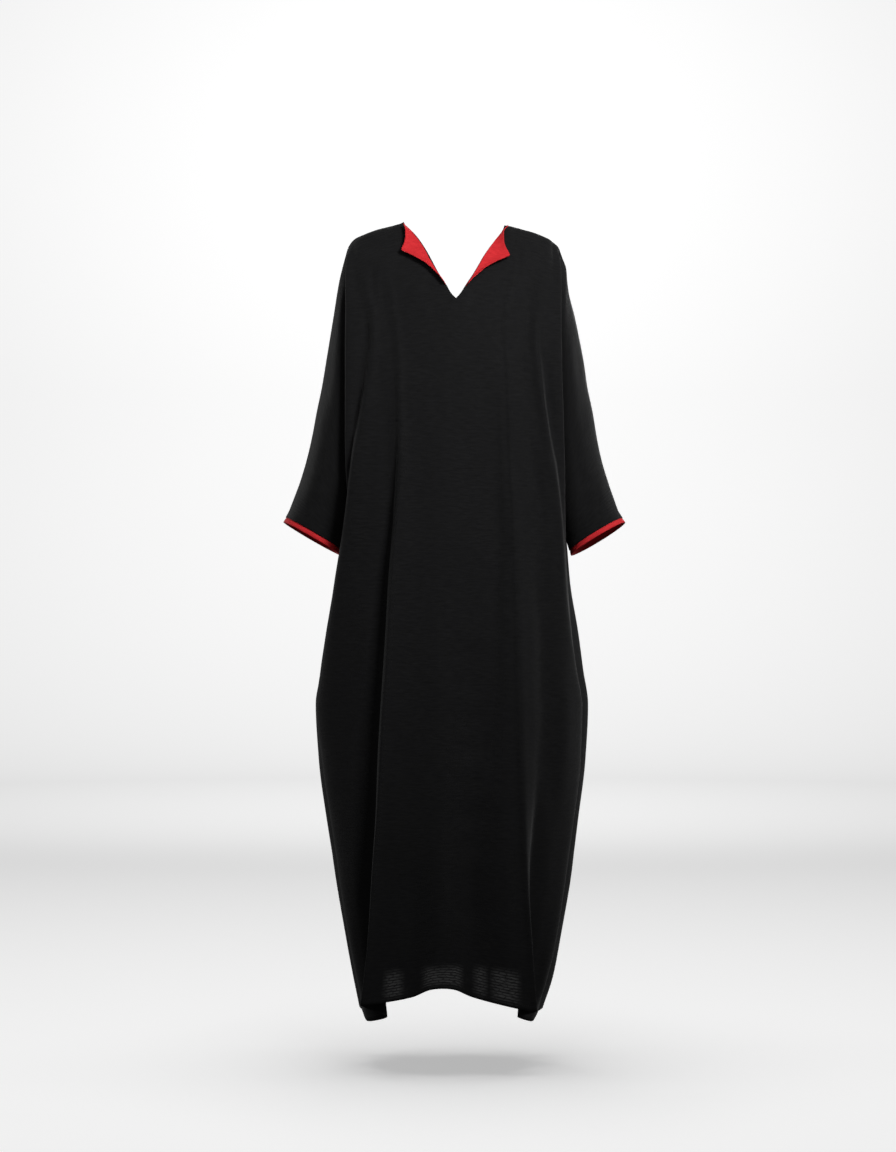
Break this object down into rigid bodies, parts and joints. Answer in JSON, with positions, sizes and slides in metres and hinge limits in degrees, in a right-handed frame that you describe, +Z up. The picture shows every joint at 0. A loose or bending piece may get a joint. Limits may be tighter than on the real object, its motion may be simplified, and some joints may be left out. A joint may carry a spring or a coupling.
{
  "type": "maxi dress",
  "caption": "Long black crepe maxi dress with a slit neck turned out in red, wide three-quarter sleeves with red-bound cuffs and an arched hem, worn and empty.",
  "frame": {"origin": "midway between the neck ends of the two shoulder seams, where the wearer's shoulders hold the dress", "axes": "+Z up along the dress, -Y out of the front, +X towards the viewer's right when facing the front"},
  "size_m": [0.6123, 0.2822, 1.4229],
  "materials": {
    "black_crepe": "matt crinkled crepe",
    "red_crepe": "plain matt"
  },
  "bodies": {
    "root": {"front": "black_crepe", "back": "black_crepe", "sleeve_left": "black_crepe", "sleeve_right": "black_crepe", "neck_facing_left": "red_crepe", "neck_facing_right": "red_crepe", "cuff_left": "red_crepe", "cuff_right": "red_crepe"}
  },
  "joints": []
}
